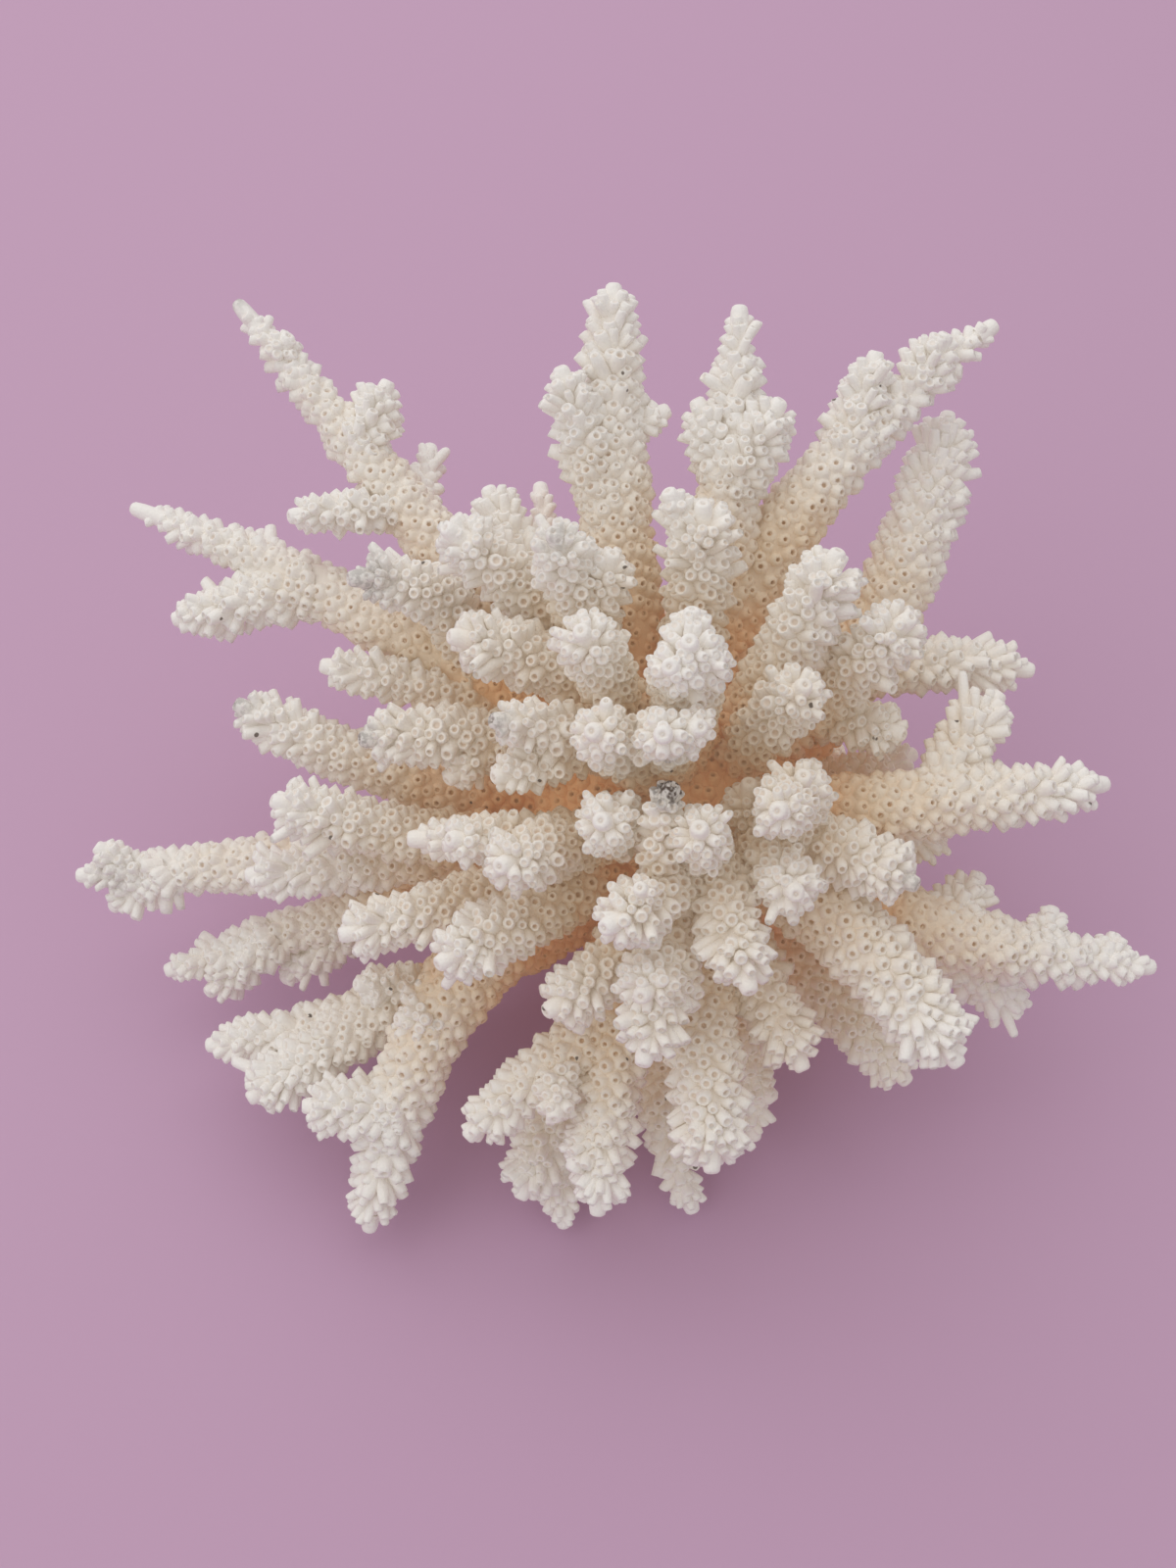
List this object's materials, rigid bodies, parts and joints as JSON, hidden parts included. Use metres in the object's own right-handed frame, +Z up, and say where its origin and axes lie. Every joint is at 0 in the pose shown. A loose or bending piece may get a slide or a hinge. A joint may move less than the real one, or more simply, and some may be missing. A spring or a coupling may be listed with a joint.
{
  "type": "table coral skeleton",
  "caption": "Bleached skeleton of a branching table coral: cup-covered branches fan out from a low stalk that is cut off flat to stand on a table.",
  "frame": {"origin": "middle of the flat cut under the stalk, on the surface that the coral stands on", "axes": "+Z up from the cut through the crown, +X to the right along the colony's longest spread, -Y towards its front, where most branches point"},
  "size_m": [0.175, 0.1333, 0.1007],
  "materials": {
    "coral_branch": "matt, bleached, porous",
    "coral_foot": "matt, bleached, porous"
  },
  "bodies": {
    "root": {"back_left_inner": "coral_branch", "back_left_long": "coral_branch", "back_right_long": "coral_branch", "back_right_low": "coral_branch", "back_tall": "coral_branch", "back_tall_right": "coral_branch", "back_thin": "coral_branch", "base": "coral_foot", "crown_back": "coral_branch", "crown_back_left": "coral_branch", "crown_back_right": "coral_branch", "crown_front": "coral_branch", "crown_front_knob": "coral_branch", "crown_front_left": "coral_branch", "crown_front_right": "coral_branch", "crown_front_stub": "coral_branch", "crown_left": "coral_branch", "crown_left_knob": "coral_branch", "crown_low_right": "coral_branch", "crown_middle": "coral_branch", "crown_middle_left": "coral_branch", "crown_right_cluster": "coral_branch", "crown_right_star": "coral_branch", "crown_stained": "coral_branch", "crown_top": "coral_branch", "front_inner_left": "coral_branch", "front_left_long": "coral_branch", "front_left_low": "coral_branch", "front_left_middle": "coral_branch", "front_left_upper": "coral_branch", "front_long": "coral_branch", "front_low": "coral_branch", "front_low_left": "coral_branch", "front_low_right": "coral_branch", "front_middle": "coral_branch", "front_right_inner": "coral_branch", "front_right_long": "coral_branch", "front_right_low": "coral_branch", "front_right_upper": "coral_branch", "front_slim": "coral_branch", "front_upper": "coral_branch", "left_back_long": "coral_branch", "left_back_upper": "coral_branch", "left_long": "coral_branch", "left_low": "coral_branch", "left_middle": "coral_branch", "left_over": "coral_branch", "left_rising": "coral_branch", "left_short": "coral_branch", "left_slim": "coral_branch", "left_upper": "coral_branch", "right_back_arc": "coral_branch", "right_back_upper": "coral_branch", "right_fork": "coral_branch", "right_hidden": "coral_branch", "right_long": "coral_branch", "right_middle": "coral_branch", "right_upper": "coral_branch"}
  },
  "joints": []
}
